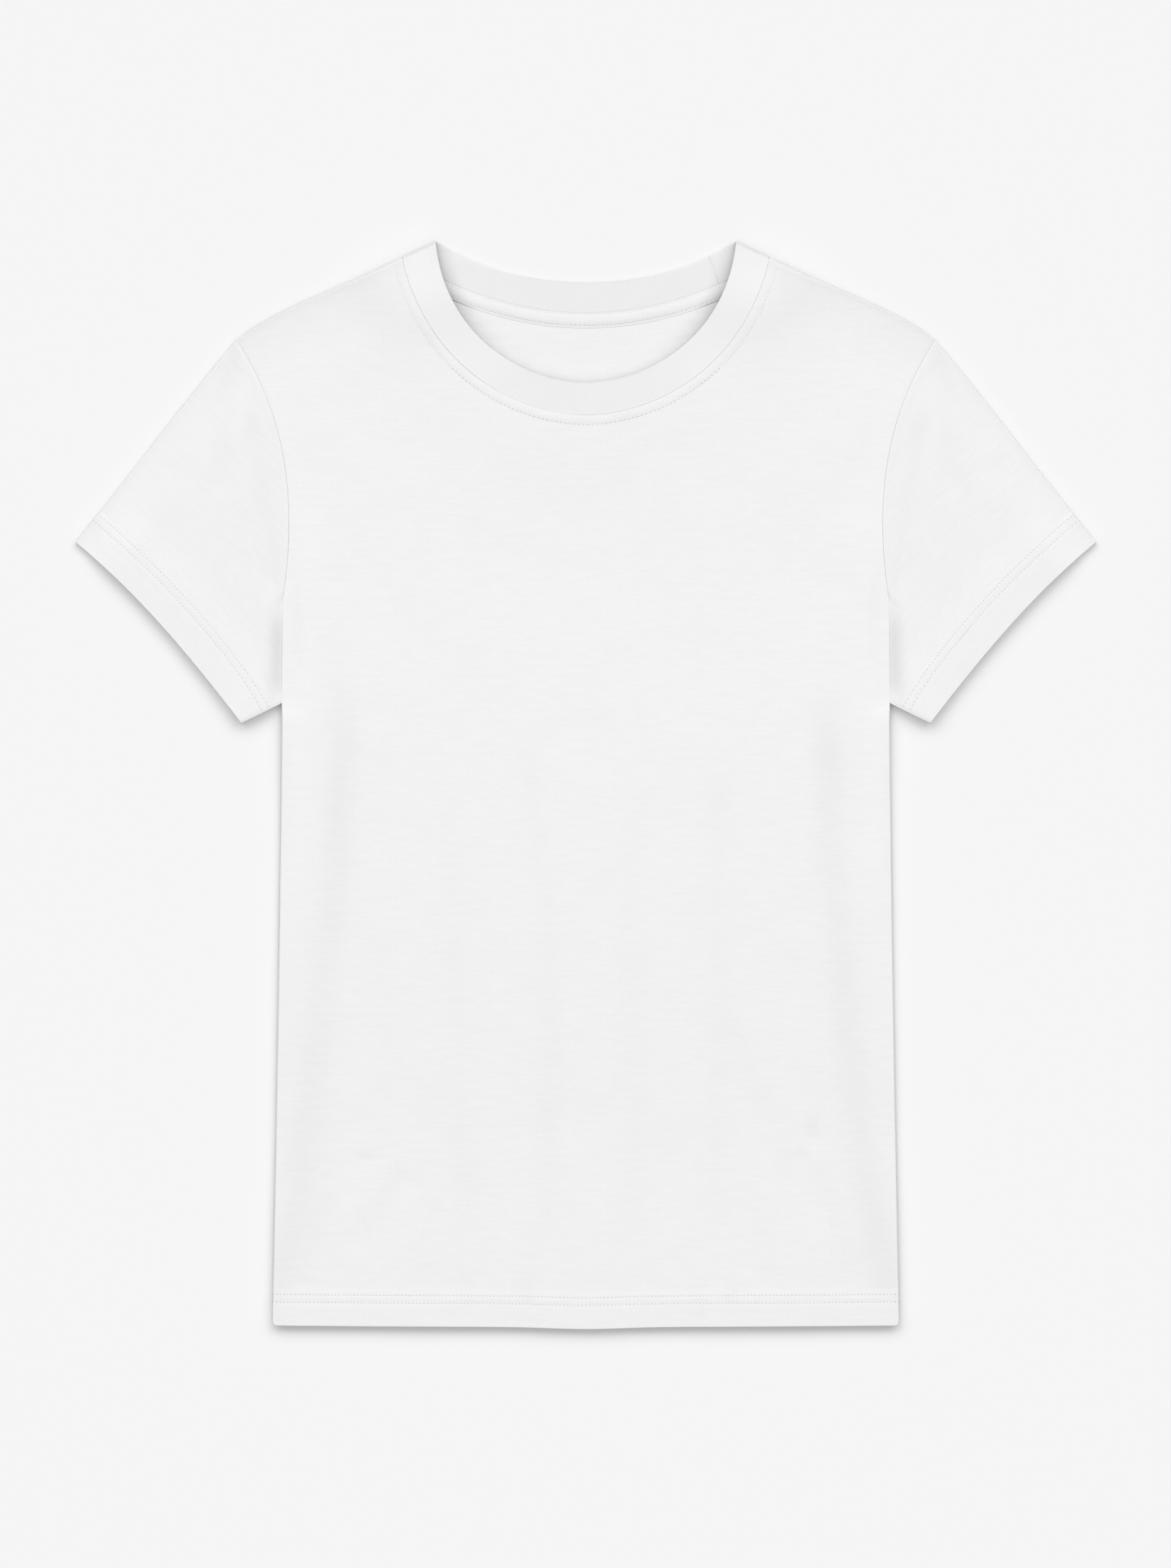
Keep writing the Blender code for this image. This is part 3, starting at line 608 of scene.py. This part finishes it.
def makeSleeve(name, node, side, material):
    angles = (0, 12, 25, 40, 55, 70, 80, 90)
    armShare = sleeve["armholeShare"]
    middle = np.concatenate([np.linspace(0.018, armShare, 44),
                             np.linspace(armShare, 0.978, 14)[1:]])
    upper = [(0.0, angle, 1) for angle in angles] + [(share, None, 1) for share in middle]
    upper += [(1.0, angle, 1) for angle in reversed(angles)]
    stations = upper + [(across, angle, -1) for across, angle, _ in upper[-2::-1]]
    fromStart = np.concatenate([(0.0, 0.003, 0.006), np.linspace(0.01, 0.09, 21),
                                np.linspace(0.09, 1, 32)[1:-1]])
    nearCuff = np.array(sleeve["cuffSteps"])[::-1]
    rows = len(fromStart) + len(nearCuff)
    places, painted = np.zeros((2, len(stations), rows, 3))
    for number, (across, angle, layer) in enumerate(stations):
        opened = 1.0
        if angle is not None:
            size = sleeve["topRound"] if across < 0.5 else -sleeve["lowRound"][layer]
            across += size * (1 - np.cos(radians(angle))) / sleeve["width"]
            opened = np.sin(radians(angle))
        acrossRow = np.full(rows, across)
        length = sleeveSpot(acrossRow[:1], np.zeros(1))[1][0]
        swayed = nearCuff + hemSway(across) * smoothStep(0.003, 0.014, nearCuff)
        share = np.concatenate([fromStart * (1 - swayed[0] / length), 1 - swayed / length])
        spot, lower, height, dark, fromOpening, rowAway = sleeveHeights(acrossRow, share)
        if across > armShare + 0.001:
            opened = opened * rounded(fromOpening, sleeve["tuckRound"])
            lower = np.zeros(rows)
        thickness = blend(cut["cloth"], cut["hemCloth"], cuffDoubled(rowAway))
        height = np.maximum(height, lower + 2 * thickness + 0.0002)
        level = (lower + height) / 2 + layer * opened * (height - lower) / 2
        shade = dark if layer > 0 else dark / 2
        places[number] = np.column_stack([spot * (side, 1), level])
        painted[number] = np.column_stack([acrossRow * sleeve["rowLength"], rowAway, shade])
    piece = gridSheet(name, places)
    values = painted.reshape(-1, 3)[gridNumbers(piece)]
    paint(piece, "grain", values[:, :2] + (0.3 if side > 0 else 0.9))
    paint(piece, "dark", values[:, 2])
    paint(piece, "hemRow", values[:, :2])
    thickenHem(piece, cuffDoubled(values[:, 1]))
    putOn(piece, node, material)
    return piece


# neckband and tape

band = {
    "height": 0.0049, "thickness": 0.0015, "ribPitch": 0.00125, "ribDepth": 0.00001,
    "stationsPerRib": 4, "pullIn": 0.0002, "crown": 0.0003, "seamGap": -0.0001,
    "joinX": 0.077, "joinLean": 0.006, "joinReach": 0.0006, "joinDepth": 0.00012,
    "ribDark": 0.046, "middleDark": 0.04, "backDark": -0.006, "foldDark": 0.12,
    "freeDark": 0.15, "joinDark": 0.1,
    "across": (0.0, 0.004, 0.014, 0.032, 0.075, 0.16, 0.3, 0.5, 0.7, 0.84, 0.925, 0.968,
               0.986, 0.996, 1.0),
}
tape = {
    "width": 0.0101, "rows": (0.0016, 0.008), "rowReach": 0.0006, "halfLength": 0.104,
    "thickness": 0.0004, "middleDark": 0.012, "edgeDark": 0.006, "endDark": 0.35,
    "steps": (0.0, 0.0002, 0.0006, 0.0011, 0.0016, 0.0021, 0.003, 0.0045, 0.006, 0.0072,
              0.0077, 0.0083, 0.0088, 0.0093, 0.0097, 0.01, 0.0101),
}
tapeTop = cut["cloth"] + 0.0001 + tape["thickness"]


def bandStations():  # half the band, from the centre back over the fold to the front
    foldLine = (hornTip - neckPoint) / np.hypot(*(hornTip - neckPoint))
    outward = np.array([foldLine[1], -foldLine[0]])
    radius = band["height"] / 2
    step = band["ribPitch"] / band["stationsPerRib"]

    edges = {part: [curveLine(cut[part + edge], 1500) for edge in ("Free", "Neck")]
             for part in ("back", "front")}

    def reached(edge, tip, depth):  # the first point less than this far from the fold
        return int(np.argmax((tip - edge) @ outward < depth))

    def flatPart(free, seam):
        moved = squareOff(seam, band["seamGap"])
        freeEnd, seamEnd = reached(free, hornTip, radius), reached(seam, neckPoint, radius)
        middle = (free[np.linspace(0, freeEnd - 1, 300).astype(int)]
                  + seam[np.linspace(0, seamEnd - 1, 300).astype(int)]) / 2
        shares = np.linspace(0, 1, round(lengthsOf(middle)[-1] / step) + 1)
        return (along(free, shares * lengthsOf(free)[freeEnd]),
                along(moved, shares * lengthsOf(seam)[seamEnd]))

    backFree, backSeam = flatPart(*edges["back"])
    frontFree, frontSeam = flatPart(*edges["front"])
    angles = np.linspace(-90, 90, 25)[1:-1]
    foldFree, foldSeam = [], []
    for angle in angles:
        free, seam = edges["back" if angle < 0 else "front"]
        depth = radius * (1 - np.cos(radians(angle))) + 1e-7
        pull = foldLine * band["pullIn"] * np.sqrt(np.cos(radians(angle)))
        foldFree.append(free[reached(free, hornTip, depth)])
        foldSeam.append(seam[reached(seam, neckPoint, depth)] + pull)
    turn = np.concatenate([np.full(len(backFree), -90.0), angles, np.full(len(frontFree), 90.0)])
    normal = np.column_stack([outward * np.cos(np.radians(turn))[:, None],
                              np.sin(np.radians(turn))])
    return (np.vstack([backFree, foldFree, frontFree[::-1]]),
            np.vstack([backSeam, foldSeam, frontSeam[::-1]]), turn, normal)


def makeNeckband(material):
    freeHalf, seamHalf, turn, normal = bandStations()
    levels = band["height"] / 2 * (1 + normal[:, 2])
    measured = lengthsOf((freeHalf + seamHalf) / 2)
    besidePanel = frontHeight(*seamHalf.T)[0] - neckArch(*seamHalf.T)
    besidePanel += front["seamDrop"] - band["height"]
    edge = band["across"]
    share = np.array(edge + edge[-2::-1])
    face = np.array([1] * len(edge) + [-1] * (len(edge) - 2) + [1])
    half = band["thickness"] / 2
    whole, grains, shades = [], [], []
    for side in (1, -1):
        for number, angle in enumerate(turn):
            free, seam = freeHalf[number], seamHalf[number]
            flat = free + (seam - free) * share[:, None]
            across, width = flat[:, 0], np.hypot(*(seam - free))
            fromFree, fromSeam = share * width, (1 - share) * width
            ribbed = smoothStep(0.0003, 0.0015, np.minimum(fromFree, fromSeam))
            wave = np.cos(2 * np.pi * number / band["stationsPerRib"])
            isFront, isBack = angle > 89, angle < -89
            joined = 0.0
            if side > 0 and isBack:
                joined = bump(across - share * band["joinLean"] - band["joinX"], band["joinReach"])
            thick = half * rounded(fromFree, half) * rounded(fromSeam, 0.0001)
            thick += band["ribDepth"] * wave * ribbed - band["joinDepth"] * joined
            offset = face * thick - half
            if isFront:
                offset += band["crown"] * np.sin(np.pi * share) + besidePanel[number] * share ** 2
                offset -= front["seamDrop"] * (1 - rounded(fromSeam, front["seamReach"]))
            arch = neckArch(*flat.T) * max(0.0, normal[number, 2])
            spots = np.column_stack([flat, levels[number] + arch])
            spots += normal[number] * offset[:, None]
            whole.append(spots * (side, 1, 1))
            place = np.full(len(share), measured[number] * side)
            grains.append(np.column_stack([place, fromFree]))

            # painted shade between the ribs, in the join and the seam, along the free edge, over
            # the fold and, on the back, beneath the front band; middleDark leaves the front's two
            # sides lighter
            shade = band["ribDark"] * (0.5 - 0.5 * wave) * ribbed + band["joinDark"] * joined
            shade += band["middleDark"] * (fade(0.03, 0.085, across) if isFront else 1.0)
            seamShade = neckSeamDark(across) if isFront else 2 * front["seamDark"]
            shade += seamShade * bump(fromSeam, 0.0003)
            atMiddle = 1 - 0.6 * smoothStep(0.03, 0.06, across)
            shade += band["freeDark"] * atMiddle * bump(fromFree, 0.0008)
            if isBack:
                shade += band["backDark"] + underNeck(*flat.T)
            elif not isFront:
                shade += band["foldDark"] * np.cos(radians(angle)) ** 0.25
            shades.append(shade)

    def inRing(stations):  # one side, then the other on the way back
        return np.array(stations[:len(turn)] + stations[len(turn):][::-1])

    piece = gridSheet("ribNeckband", inRing(whole))
    order = gridNumbers(piece)
    paint(piece, "grain", inRing(grains).reshape(-1, 2)[order])
    paint(piece, "dark", inRing(shades).ravel()[order])
    putOn(piece, "neckband", material)
    return piece


def makeTape(material):
    length = np.interp(tape["halfLength"], backNeckLine[:, 0], lengthsOf(backNeckLine))
    stations = bothSides(along(backNeckLine, np.linspace(0, length, 110)))
    places = np.zeros((len(stations), len(tape["steps"]), 3))
    for row, away in enumerate(tape["steps"]):
        places[:, row, :2] = squareOff(stations, -away)
        places[:, row, 2] = (tapeTop + 0.0003 * np.sin(np.pi * away / tape["width"])
                             - rowDips(away, tape["rows"], tape["rowReach"])
                             + 0.0002 * bump(away, 0.001)
                             - 0.00045 * fade(-0.001, 0.0045, tape["width"] - away))
    piece = gridSheet("neckTape", places, True)
    spots = readPoints(piece)[:, :2]
    x, y = spots.T
    away, place = nearLine(x, y, bothSides(backNeckLine[::8]))
    # painted shade in the middle, beneath the front neckband, in the seam and along the lower
    # edge, deepest towards the ends
    edgeDark = tape["edgeDark"] + tape["endDark"] * smoothStep(0.06, 0.082, np.abs(x))
    shade = tape["middleDark"] * bump(away - 0.0045, 0.0025) + underNeck(x, y)
    shade += edgeDark * bump(away - tape["width"] + 0.0003, 0.0004)
    paint(piece, "grain", spots)
    paint(piece, "dark", shade + 2 * front["seamDark"] * bump(away, 0.0004))
    paint(piece, "neckRow", np.column_stack([place, away]))
    thicken(piece, tape["thickness"])
    putOn(piece, "neck_tape", material)
    return piece


# stitches

thread = {"width": 0.00038, "height": 0.00026, "lowest": 0.00017, "sink": 0.00006, "between": 0.3}


# each run: a line of 3-D points, the pitch, and 1 on top or -1 below
def sew(name, runs, material, wide=1.0):
    cloth = bmesh.new()
    around = np.radians(np.arange(7) * 60.0)
    shape = np.array(((0, 0.1), (0.1, 0.75), (0.28, 1), (0.72, 1), (0.9, 0.75), (1, 0.1)))
    for line, pitch, up in runs:
        count = int(lengthsOf(line)[-1] / pitch)
        starts = (np.arange(count)[:, None] + thread["between"] / 2) * pitch
        stops = starts + shape[:, 0] * pitch * (1 - thread["between"])
        middle = along(line, stops.ravel())
        sizes = np.tile(shape[:, 1], count)[:, None]
        run = np.gradient(middle, axis=0)
        run /= np.linalg.norm(run, axis=1)[:, None]
        square = np.column_stack([-run[:, 1], run[:, 0], np.zeros(len(run))])
        spread = np.cos(around) * sizes * thread["width"] * wide / 2
        places = middle[:, None, :] + square[:, None, :] * spread[..., None]
        places[:, :, 2] += np.sin(around) * sizes * thread["height"] / 2
        places[:, :, 2] += (thread["sink"] * 2 * sizes - thread["sink"]) * up
        layGrid(cloth, places)
    piece = finishSheet(cloth, name)
    putOn(piece, "", material)
    return piece


def onFront(line):
    return np.column_stack([line, frontHeight(*line.T)[0]])


def onBack(line):
    return np.column_stack([line, np.maximum(backHeight(*line.T)[0], thread["lowest"])])


def hemRun(row):
    reach = halfWidth(hemY + row) - 0.0016
    x = np.linspace(-reach, reach, 300)
    return np.column_stack([x, hemLine(x) + row])


def neckRun(neckLine, away):
    line = bothSides(squareOff(neckLine, -away))
    return line[line[:, 1] < shoulderY(np.abs(line[:, 0])) - 0.0035]


def sleeveRun(row, side, up):
    across = np.linspace(0.012, 0.985, 220)
    length = sleeveSpot(across, np.zeros(len(across)))[1]
    spot, _, height, *_ = sleeveHeights(across, 1 - (row + hemSway(across)) / length)
    level = height if up > 0 else np.full(len(across), thread["lowest"])
    return np.column_stack([spot * (side, 1), level])


# materials

class Wire:  # a node's output, so that shader maths reads as plain maths
    def __init__(self, finish, socket):
        self.finish = finish
        self.socket = socket

    def maths(self, operation, first, second):
        return self.finish.node("Math", {"operation": operation}, {0: first, 1: second})

    def __add__(self, other):
        return self.maths("ADD", self, other)

    __radd__ = __add__

    def __sub__(self, other):
        return self.maths("SUBTRACT", self, other)

    def __rsub__(self, other):
        return self.maths("SUBTRACT", other, self)

    def __mul__(self, other):
        return self.maths("MULTIPLY", self, other)

    def __truediv__(self, other):
        return self.maths("DIVIDE", self, other)

    def __pow__(self, power):
        return self.maths("POWER", self, power)


class Finish:
    def __init__(self, name, colour, roughness):
        self.material = bpy.data.materials.new(name)
        self.material.use_nodes = True
        self.colour = colour
        self.shader = self.material.node_tree.nodes["Principled BSDF"]
        self.shader.inputs["Roughness"].default_value = roughness
        self.shader.inputs["Specular IOR Level"].default_value = 0.2

    def node(self, kind, settings=None, values=None, output=0):
        made = self.material.node_tree.nodes.new("ShaderNode" + kind)
        for name, value in (settings or {}).items():
            setattr(made, name, value)
        self.feed(made, values or {})
        return Wire(self, made.outputs[output])

    def feed(self, node, values):
        for name, value in values.items():
            if isinstance(value, Wire):
                self.material.node_tree.links.new(value.socket, node.inputs[name])
            else:
                node.inputs[name].default_value = value

    def attribute(self, name, output="Vector"):
        return self.node("Attribute", {"attribute_name": name}, output=output)

    def noise(self, vector, scale, detail=2.0, roughness=0.5):
        stretched = self.node("Mapping", {}, {"Vector": vector, "Scale": scale})
        values = {"Vector": stretched, "Scale": 1.0, "Detail": detail, "Roughness": roughness}
        return self.node("TexNoise", {}, values)

    def range(self, value, low, high):
        return self.node("MapRange", {"interpolation_type": "SMOOTHSTEP", "clamp": True},
                         {"Value": value, "From Min": low, "From Max": high})

    def holes(self, name, rows, pitch, radius):  # painted shade of needle holes in even steps along rows
        split = self.node("SeparateXYZ", {}, {"Vector": self.attribute(name)})
        run = Wire(self, split.socket.node.outputs["X"])
        away = Wire(self, split.socket.node.outputs["Y"])
        step = self.node("Math", {"operation": "FRACT"}, {0: run / pitch + 0.5})
        sideways = (step - 0.5) * pitch
        total = 0.0
        for row in rows:
            across = away - row
            distance = (sideways * sideways + across * across) ** 0.5
            total = total + (1 - self.range(distance, radius * 0.6, radius * 1.4))
        return total

    def colourFrom(self, dark):  # the cloth's own colour, darkened by a share
        mixed = self.node("Mix", {"data_type": "RGBA"},
                          {0: dark, 6: (*self.colour, 1.0), 7: (0.02, 0.02, 0.022, 1.0)}, 2)
        self.feed(self.shader, {"Base Color": mixed})

    def bump(self, height, strength, distance):
        values = {"Height": height, "Strength": strength, "Distance": distance}
        self.feed(self.shader, {"Normal": self.node("Bump", {}, values)})


jersey = {
    "colour": (0.798, 0.798, 0.798), "roughness": 0.85, "knitHeight": 0.00006,
    "slubScale": (66, 330, 1), "fineScale": (700, 1500, 1), "patchScale": (18, 34, 1),
    "slubDark": 0.025, "fineDark": 0.022, "patchDark": 0.007, "waleWidth": 0.0008,
    "hole": 0.00044, "holeShade": 0.28,
}
rib = {
    "colour": (0.788, 0.787, 0.786), "roughness": 0.85, "knitHeight": 0.00004,
    "fibreScale": (1400, 300, 1), "patchScale": (60, 60, 1), "fibreDark": 0.012,
    "patchDark": 0.01,
}


# darkerBy: how much darker the whole cloth is
def jerseyCloth(name, rows, darkerBy=0.0, holeShare=1.0):
    colour = tuple(channel * (1 - darkerBy) for channel in jersey["colour"])
    finish = Finish(name, colour, jersey["roughness"])
    grain = finish.attribute("grain")
    slub = finish.noise(grain, jersey["slubScale"], 4.0, 0.64)
    fine = finish.noise(grain, jersey["fineScale"], 2.0, 0.6)
    patch = finish.noise(grain, jersey["patchScale"], 3.0, 0.6)
    streaks = finish.range(slub, 0.28, 0.74)
    dark = streaks * jersey["slubDark"] + finish.range(patch, 0.35, 0.75) * jersey["patchDark"]
    dark = dark + finish.range(fine, 0.25, 0.75) * jersey["fineDark"]
    # and the painted shade and painted light that each piece carries
    dark = dark + finish.attribute("dark", "Fac")
    for rowName, places, pitch in rows:
        holes = finish.holes(rowName, places, pitch, jersey["hole"])
        dark = dark + holes * (jersey["holeShade"] * holeShare)
    finish.colourFrom(dark)
    wales = finish.node("TexWave", {}, {"Vector": grain, "Scale": 0.314 / jersey["waleWidth"],
                                        "Distortion": 0.6, "Detail": 1.0})
    finish.bump(wales * 0.4 + streaks + fine * 0.5, 0.5, jersey["knitHeight"])
    return finish.material


def ribCloth():
    finish = Finish("neckbandRib", rib["colour"], rib["roughness"])
    grain = finish.attribute("grain")
    fibre = finish.noise(grain, rib["fibreScale"])
    patch = finish.noise(grain, rib["patchScale"])
    dark = finish.range(fibre, 0.3, 0.8) * rib["fibreDark"]
    dark = dark + finish.range(patch, 0.35, 0.75) * rib["patchDark"]
    # and the painted shade that the band carries
    finish.colourFrom(dark + finish.attribute("dark", "Fac"))
    finish.bump(fibre, 0.5, rib["knitHeight"])
    return finish.material


def threadFinish():
    finish = Finish("sewingThread", (0.8, 0.802, 0.804), 0.6)
    spot = finish.node("TexCoord", output="Object")
    twist = finish.noise(spot, (2600, 2600, 2600), 1.0)
    finish.colourFrom(finish.range(twist, 0.3, 0.7) * 0.05)
    finish.bump(twist, 0.4, 0.00003)
    return finish.material


# surroundings

studio = {
    "floorColour": (0.8, 0.8, 0.8), "floorSize": 40.0,
    # a wide soft light over the table, and a broad one beyond the neck in three parts:
    # name, power, angle, tilt and turn
    "lamps": (("top", 2.15, 134, 0, 0), ("key0", 0.661, 40, 50, -40), ("key1", 0.661, 40, 50, 0),
              ("key2", 0.661, 40, 50, 40)),
    "room": 0.057,
    "lens": 200.0, "sensor": 36.0, "frameHeight": 0.98104, "centre": (-0.0002, 0.0004),
}


def makeStudio():
    ground = bmesh.new()
    bmesh.ops.create_grid(ground, x_segments=1, y_segments=1, size=studio["floorSize"] / 2)
    floor = finishSheet(ground, "floor", True)
    finish = Finish("paleFloor", studio["floorColour"], 0.9)
    speckle = finish.noise(finish.node("TexCoord", output="Object"), (400, 400, 400))
    finish.colourFrom(finish.range(speckle, 0.3, 0.7) * 0.004)
    floor.data.materials.append(finish.material)

    scene = bpy.context.scene
    for name, power, angle, tilt, turn in studio["lamps"]:
        lamp = bpy.data.lights.new(name, "SUN")
        lamp.energy = power
        lamp.angle = radians(angle)
        holder = bpy.data.objects.new(name, lamp)
        holder.rotation_euler = (radians(-tilt), 0, radians(turn))
        scene.collection.objects.link(holder)

    world = bpy.data.worlds.new("room")
    world.use_nodes = True
    background = world.node_tree.nodes["Background"]
    background.inputs["Color"].default_value = (1, 1, 1, 1)
    background.inputs["Strength"].default_value = studio["room"]
    scene.world = world
    scene.view_settings.view_transform = "Standard"
    scene.view_settings.look = "None"

    lens = bpy.data.cameras.new("camera")
    lens.lens = studio["lens"]
    lens.sensor_width = studio["sensor"]
    camera = bpy.data.objects.new("camera", lens)
    away = studio["frameHeight"] * studio["lens"] / studio["sensor"]
    camera.location = (*studio["centre"], away + 0.004)
    scene.collection.objects.link(camera)
    scene.camera = camera


# the shirt

neckPitch, hemPitch, sleevePitch, tapePitch = 0.0027, 0.0023, 0.0025, 0.0027
frontCloth = jerseyCloth("frontJersey", (("neckRow", (front["neckRow"],), neckPitch),
                                         ("hemRow", front["hemRows"], hemPitch)))
backCloth = jerseyCloth("backJersey", (("neckRow", tape["rows"], tapePitch),
                                       ("hemRow", front["hemRows"], hemPitch)))
leftCloth, rightCloth = (jerseyCloth(name, (("hemRow", sleeve["rows"], sleevePitch),), 0.0, 0.7)
                         for name in ("leftSleeveJersey", "rightSleeveJersey"))
tapeCloth = jerseyCloth("neckTapeJersey", (("neckRow", tape["rows"][1:], tapePitch),),
                        0.012, 0.55)
stitchFinish = threadFinish()

frontPanel = dressPanel(makePanel("frontPanel", frontNeckLine, True), frontHeight, frontNeckLine,
                        "front", frontCloth)
print("front panel", len(frontPanel.data.polygons))
backPanel = dressPanel(makePanel("backPanel", backNeckLine, False), backHeight, backNeckLine,
                       "back", backCloth)
print("back panel", len(backPanel.data.polygons))
leftSleeve = makeSleeve("leftSleeve", "sleeve_left", 1, leftCloth)
rightSleeve = makeSleeve("rightSleeve", "sleeve_right", -1, rightCloth)
print("sleeves", len(leftSleeve.data.polygons))
neckband = makeNeckband(ribCloth())
neckTape = makeTape(tapeCloth)
print("neckband and tape", len(neckband.data.polygons), len(neckTape.data.polygons))

frontStitches = sew("frontStitches",
                    [(onFront(neckRun(frontNeckLine, front["neckRow"])), neckPitch, 1)]
                    + [(onFront(hemRun(row)), hemPitch, 1) for row in front["hemRows"]],
                    stitchFinish)
backStitches = sew("backStitches",
                   [(onBack(hemRun(row)), hemPitch, 1) for row in front["hemRows"]]
                   + [(onBack(neckRun(backNeckLine, row)), tapePitch, 1) for row in tape["rows"]],
                   stitchFinish)
sleeveStitches = [sew(name, [(sleeveRun(row, side, up), sleevePitch, up)
                             for row in sleeve["rows"] for up in (1, -1)], stitchFinish)
                  for name, side in (("leftSleeveStitches", 1), ("rightSleeveStitches", -1))]
for name, row, wide in (("upperTapeStitches", tape["rows"][0], 2.6),
                        ("lowerTapeStitches", tape["rows"][1], 1.0)):
    run = neckRun(backNeckLine, row)
    run = run[np.abs(run[:, 0]) < 0.096]
    run = np.column_stack([run, np.full(len(run), tapeTop)])
    sew(name, [(run, tapePitch, 1)], stitchFinish, wide)
print("stitches")

makeStudio()
